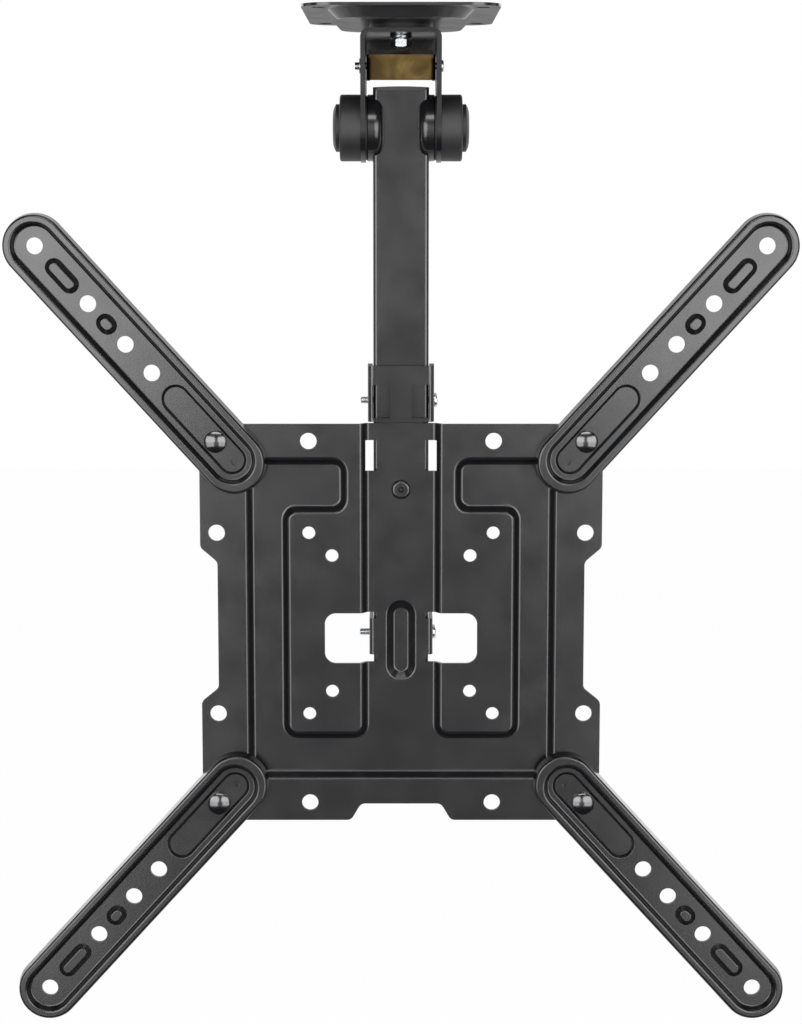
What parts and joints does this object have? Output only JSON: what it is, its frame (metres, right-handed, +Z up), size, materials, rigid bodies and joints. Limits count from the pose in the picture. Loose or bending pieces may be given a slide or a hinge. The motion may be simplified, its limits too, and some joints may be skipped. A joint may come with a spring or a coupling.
{
  "type": "tv ceiling mount",
  "caption": "Folding ceiling mount: swivelling yoke under a ceiling plate, drop tube on a friction hinge, and a pressed screen plate with turning extension arms.",
  "frame": {"origin": "top face of the ceiling plate, on the swivel axis", "axes": "+Z up towards the ceiling, the screen side faces -Y, +X to the right seen from the screen side"},
  "size_m": [0.425, 0.148, 0.5501],
  "materials": {
    "black_powder_coat": "semi-gloss powder coat",
    "black_plastic": "satin moulded",
    "bright_zinc": "bright zinc plated",
    "yellow_zinc": "yellow zinc plated",
    "spring_steel": "plain spring steel"
  },
  "bodies": {
    "ceiling": {"ceiling_plate": "black_powder_coat", "swivel_bolt": "bright_zinc", "swivel_glide_washer": "black_plastic", "swivel_lock_washer": "spring_steel", "swivel_nut": "bright_zinc"},
    "yoke": {"yoke": "black_powder_coat", "hinge_bolt": "bright_zinc", "hinge_nut": "bright_zinc", "hinge_disc_springs": "spring_steel", "hinge_housing_left": "black_plastic", "hinge_housing_right": "black_plastic", "hinge_cap_left": "black_plastic", "hinge_cap_right": "black_plastic", "friction_washer_left": "black_plastic", "friction_washer_right": "black_plastic", "latch_pin": "bright_zinc", "latch_clip": "bright_zinc", "latch_spring": "spring_steel"},
    "latch": {"latch": "yellow_zinc"},
    "drop_arm": {"drop_tube": "black_powder_coat", "tube_top_cap": "black_plastic", "tube_bottom_cap": "black_plastic", "hinge_hub_left": "black_powder_coat", "hinge_hub_right": "black_powder_coat", "hinge_spacer": "bright_zinc", "screen_plate": "black_powder_coat", "upper_bracket": "black_powder_coat", "bracket_rivet": "black_powder_coat", "upper_clamp_screw": "bright_zinc", "lower_clamp_screw": "bright_zinc", "pivot_bolts": "black_powder_coat", "pivot_washers": "bright_zinc", "pivot_nuts": "bright_zinc"},
    "arm_upper_left": {"arm_upper_left": "black_powder_coat"},
    "arm_upper_right": {"arm_upper_right": "black_powder_coat"},
    "arm_lower_left": {"arm_lower_left": "black_powder_coat"},
    "arm_lower_right": {"arm_lower_right": "black_powder_coat"}
  },
  "joints": [
    {"name": "swivel", "type": "hinge", "parent": "ceiling", "child": "yoke", "pos_m": [0, 0, -0.009], "axis": [0, 0, 1], "continuous": true},
    {"name": "fold", "type": "hinge", "parent": "yoke", "child": "drop_arm", "pos_m": [0, 0, -0.0607], "axis": [1, 0, 0], "range_deg": [0, 90]},
    {"name": "latch_flap", "type": "hinge", "parent": "yoke", "child": "latch", "pos_m": [0, 0, -0.0279], "axis": [1, 0, 0], "range_deg": [-25, 0], "stiffness_Nm_per_rad": 0.05, "springref_deg": 17.19},
    {"name": "turn_upper_left", "type": "hinge", "parent": "drop_arm", "child": "arm_upper_left", "pos_m": [-0.1, -0.0215, -0.2279], "axis": [0, 1, 0], "range_deg": [-47.8, 42.2]},
    {"name": "turn_upper_right", "type": "hinge", "parent": "drop_arm", "child": "arm_upper_right", "pos_m": [0.1, -0.0215, -0.2279], "axis": [0, 1, 0], "range_deg": [-42.2, 47.8]},
    {"name": "turn_lower_left", "type": "hinge", "parent": "drop_arm", "child": "arm_lower_left", "pos_m": [-0.1, -0.0215, -0.4279], "axis": [0, 1, 0], "range_deg": [-42.2, 47.8]},
    {"name": "turn_lower_right", "type": "hinge", "parent": "drop_arm", "child": "arm_lower_right", "pos_m": [0.1, -0.0215, -0.4279], "axis": [0, 1, 0], "range_deg": [-47.8, 42.2]}
  ]
}
